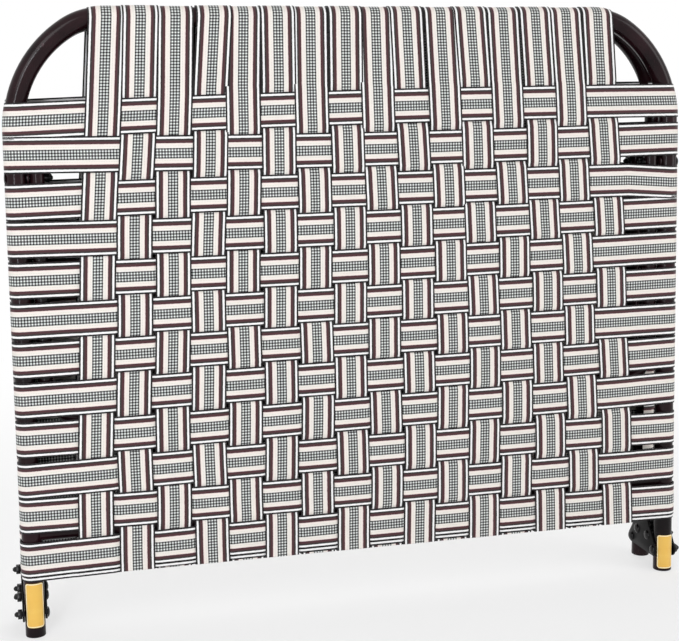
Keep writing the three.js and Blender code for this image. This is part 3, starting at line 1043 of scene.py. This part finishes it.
def leg_shoe(sign):
    bore = LEG_RADIUS + SEAT_GAP
    outer = bore + SHOE_WALL
    low_end = [(along * MM, outer - inset * MM) for along, inset in SHOE_END_CURVE]
    high_end = [(SHOE_LENGTH - along, radius) for along, radius in low_end[::-1]]
    profile = [(0, bore), *low_end, *high_end, (SHOE_LENGTH, bore), (0, bore)]
    return turned(profile, LEG_SIDES, shift(sign * SHOE_SPREAD_SHARE * LEG_X - SHOE_LENGTH / 2, 0, LEG_FOOT))


def leg_bracket(sign):
    """The plate on the rail that carries the leg, and the pin that stops it."""
    face = sign * INNER_FACE
    pin_z = LEG_PIVOT + LEG_RADIUS + STOP_PIN_RADIUS + RUNNING_GAP
    discs = [
        (0, LEG_PIVOT, BRACKET_EAR_RADIUS),
        (STOP_PIN_OFFSET, pin_z, STOP_PIN_RADIUS + STOP_PIN_WEB),
    ]
    plate = wrapped_plate(discs, face, face - sign * BRACKET_THICKNESS, BRACKET_STEPS, BRACKET_EDGE_ROUND)
    pin_end = STOP_PIN_LENGTH + STOP_PIN_BEYOND
    profile = [
        (0, 0),
        (0, STOP_PIN_RADIUS),
        (pin_end - STOP_PIN_CHAMFER, STOP_PIN_RADIUS),
        (pin_end, STOP_PIN_RADIUS - STOP_PIN_CHAMFER),
        (pin_end, 0),
    ]
    turn = Matrix.Identity(4) if sign < 0 else Matrix.Rotation(math.pi, 4, "Z")
    pin = turned(profile, BOLT_SIDES, shift(face - sign * STOP_PIN_SINK, STOP_PIN_OFFSET, pin_z) @ turn)
    return [plate, pin]


def leg_fastener(sign):
    nut_seat = sign * (LEG_X - LEG_RADIUS - SEAT_GAP)
    tip = nut_seat - sign * (NUT_HEIGHT + BOLT_TAIL)
    return bolt_and_nut(sign * OUTER_FACE, tip, nut_seat, 0, LEG_PIVOT, LEG_BOLT_HEAD_HEIGHT)


def link_plate(sign, where):
    """One hinge plate, on the inner or the outer faces of the two rails at one side."""
    discs = [
        (-PIVOT_HALF_SPACING, PIVOT_HEIGHT, PLATE_EAR_RADIUS),
        (PIVOT_HALF_SPACING, PIVOT_HEIGHT, PLATE_EAR_RADIUS),
        (0, PLATE_TOP_HEIGHT, PLATE_TOP_RADIUS),
    ]
    near, far = OUTER_FACE, OUTER_FACE + PLATE_THICKNESS
    if where == "inner":
        near, far = INNER_FACE, INNER_FACE - PLATE_THICKNESS
        discs = [(y, z, radius - INNER_LINK_TRIM) for y, z, radius in discs]
    return wrapped_plate(discs, sign * near, sign * far, PLATE_STEPS, PLATE_EDGE_ROUND)


def hinge_fastener(sign, y, z):
    head = sign * (INNER_FACE - PLATE_THICKNESS - SEAT_GAP)
    nut_seat = sign * (OUTER_FACE + PLATE_THICKNESS + SEAT_GAP)
    tip = nut_seat + sign * (NUT_HEIGHT + BOLT_TAIL)
    return bolt_and_nut(head, tip, nut_seat, y, z, BOLT_HEAD_HEIGHT)


for half in HALVES:
    body, legs = half + "_half", half + "_legs"
    piece(half + "_tube", stood(half, [rail_tube()]), "frame_paint", body, [half + "_frame_tube"])
    piece(half + "_bar", stood(half, [cross_bar()]), "frame_paint", body, [half + "_cross_bar"])
    piece(half + "_leg", stood(half, [leg_tube()]), "frame_paint", legs, [half + "_leg_tube"])
    for side_name, sign in SIDES:
        stem = half + "_" + side_name
        piece(stem + "_cap", stood(half, [end_cap(sign)]), "black_plastic", body, [stem + "_end_cap"])
        piece(stem + "_shoe", stood(half, [leg_shoe(sign)]), "black_plastic", legs, [stem + "_leg_shoe"])
        piece(stem + "_bracket", stood(half, leg_bracket(sign)), "frame_paint", body, [stem + "_leg_bracket"])
        piece(
            stem + "_leg_fastener",
            stood(half, leg_fastener(sign)),
            "fastener_steel",
            body,
            [stem + "_leg_bolt", stem + "_leg_bolt_nut"],
        )

hinge_bolts = [
    ("front_pivot", -PIVOT_HALF_SPACING, PIVOT_HEIGHT),
    ("rear_pivot", PIVOT_HALF_SPACING, PIVOT_HEIGHT),
    ("front_stop", -STOP_BOLT_Y, STOP_BOLT_Z),
    ("rear_stop", STOP_BOLT_Y, STOP_BOLT_Z),
    ("top", 0, PLATE_TOP_HEIGHT),
]
for side_name, sign in SIDES:
    for where in ("inner", "outer"):
        stem = f"{side_name}_{where}"
        piece(stem + "_link", link_plate(sign, where), "hinge_steel", "hinge", [stem + "_hinge_plate"])
    for bolt_name, y, z in hinge_bolts:
        stem = f"{side_name}_{bolt_name}"
        fastener = gather(hinge_fastener(sign, y, z))
        piece(stem + "_fastener", fastener, "fastener_steel", "hinge", [stem + "_bolt", stem + "_nut"])


# Card labels wrapped on the front rail ends


def wrapped_label(centre_x, low, high, turned_degrees):
    """A round-cornered card wrapped on a rail. Its UV holds the mark of each part, and the height."""
    bm = bmesh.new()
    height = high - low
    bmesh.ops.create_grid(bm, x_segments=1, y_segments=1, size=0.5)
    bmesh.ops.scale(bm, vec=(LABEL_WIDTH, height, 1), verts=bm.verts)
    bmesh.ops.bevel(
        bm,
        geom=bm.verts[:],
        offset=LABEL_CORNER,
        segments=LABEL_CORNER_STEPS,
        profile=0.5,
        affect="VERTICES",
        material=-1,
    )
    layer = bm.loops.layers.uv.new("label")
    rings = []
    for thickness in LABEL_INSETS:
        panel = [face for face in bm.faces if face not in rings]
        rings += bmesh.ops.inset_region(
            bm, faces=panel, thickness=thickness, use_boundary=True, use_even_offset=True
        )["faces"]
    for face in bm.faces:
        mark = PANEL_MARK
        if face in rings:
            mark = EDGE_MARK if any(edge.is_boundary for edge in face.edges) else RIM_MARK
        for loop in face.loops:
            loop[layer].uv = (mark, loop.vert.co.y / height)
    for step in range(1, LABEL_CUTS):
        at = LABEL_WIDTH * (step / LABEL_CUTS - 0.5)
        bmesh.ops.bisect_plane(
            bm, geom=bm.verts[:] + bm.edges[:] + bm.faces[:], plane_co=(at, 0, 0), plane_no=(1, 0, 0)
        )
    radius = RAIL_RADIUS + LABEL_STANDOFF
    for vert in bm.verts:
        angle = math.radians(turned_degrees) + vert.co.x / radius
        along = low + height / 2 + vert.co.y
        vert.co = (centre_x + radius * math.sin(angle), -radius * math.cos(angle), along)
    return bm


for side_name, *where in LABELS:
    card = stood("front", [wrapped_label(*where)])
    thicken(piece(side_name + "_label", card, "amber_label", "front_half"), LABEL_THICKNESS)


# The stage, the lamps and the camera

STAGE_DEPTH = 4.0
STAGE_SPREAD = 4
COVE_RADIUS = 1.0
COVE_STEPS = 24
WALL_HEIGHT = 5

# Each lamp: its name, place, aim, width and height, watts and colour
PLAIN = (1, 1, 1)
COOL = (0.92, 0.95, 1.0)
LAMPS = (
    ("key", (-1.8, -2.6, 2.4), (0, 0, 0.45), (1.6, 1.6), 28, PLAIN),
    ("left_strip", (-1.3, -2.3, 0.8), (-0.3, 0, 0.5), (0.1, 1.8), 20, COOL),
    ("fill", (2.6, -1.6, 1.4), (0, 0, 0.45), (1.2, 2.0), 22, PLAIN),
    ("back", (0.6, 2.6, 2.2), (0, 0, 0.5), (2.0, 1.2), 40, PLAIN),
)

CAMERA_PLACE = Vector((-0.5245, -1.9352, 0.7923))
CAMERA_FORWARD = Vector((0.2296, 0.96426, -0.13221))
CAMERA_UP = Vector((0.04348, 0.12554, 0.99114))
CAMERA_SENSOR = 36
CAMERA_LENS = 68.17
CAMERA_SHIFT = (0.0312, -0.0722)
CAMERA_REACH = 100


def stage():
    """A wide floor that turns up in a cove to a wall behind the bed."""
    bm = bmesh.new()
    bmesh.ops.create_grid(bm, x_segments=1, y_segments=1, size=STAGE_DEPTH)
    for vert in bm.verts:
        vert.co.x *= STAGE_SPREAD
        vert.co.y *= STAGE_SPREAD if vert.co.y < 0 else 1
    edge = max(bm.edges, key=lambda one: one.verts[0].co.y + one.verts[1].co.y)
    cove = bmesh.ops.spin(
        bm,
        geom=list(edge.verts) + [edge],
        cent=(0, STAGE_DEPTH, COVE_RADIUS),
        axis=(1, 0, 0),
        angle=math.pi / 2,
        steps=COVE_STEPS,
    )["geom_last"]
    extrude(bm, edges_of(cove), (0, 0, WALL_HEIGHT))
    bmesh.ops.recalc_face_normals(bm, faces=bm.faces)
    sharpen(bm, SHARP_DEGREES)
    add_object("stage_floor", bm, floor_material())


def lamp(name, place_at, aim, size, watts, colour):
    data = bpy.data.lights.new(name, "AREA")
    data.shape = "RECTANGLE"
    data.size, data.size_y = size
    data.energy = watts
    data.color = colour
    made = bpy.data.objects.new(name, data)
    made.location = place_at
    made.rotation_euler = (Vector(aim) - Vector(place_at)).to_track_quat("-Z", "Y").to_euler()
    made.visible_camera = False
    bpy.context.scene.collection.objects.link(made)


def room():
    """White where the camera sees it, and a softer light on the bed."""
    world = bpy.data.worlds.new("studio")
    bpy.context.scene.world = world
    world.use_nodes = True
    tree = world.node_tree
    glow = node(
        tree, "ShaderNodeMapRange", {"Value": seen_directly(tree), "To Min": ROOM_LIGHT, "To Max": 1.0}
    )
    set_or_link(tree, tree.nodes["Background"], {"Color": WHITE, "Strength": glow.outputs[0]})


def camera():
    data = bpy.data.cameras.new("camera")
    data.sensor_width = CAMERA_SENSOR
    data.lens = CAMERA_LENS
    data.shift_x, data.shift_y = CAMERA_SHIFT
    data.clip_end = CAMERA_REACH
    forward = CAMERA_FORWARD.normalized()
    right = forward.cross(CAMERA_UP).normalized()
    turn = Matrix((right, right.cross(forward), -forward)).transposed().to_4x4()
    made = bpy.data.objects.new("camera", data)
    made.matrix_world = Matrix.Translation(CAMERA_PLACE) @ turn
    bpy.context.scene.collection.objects.link(made)
    bpy.context.scene.camera = made


stage()
for facts in LAMPS:
    lamp(*facts)
room()
camera()
bpy.context.scene.view_settings.view_transform = "Standard"
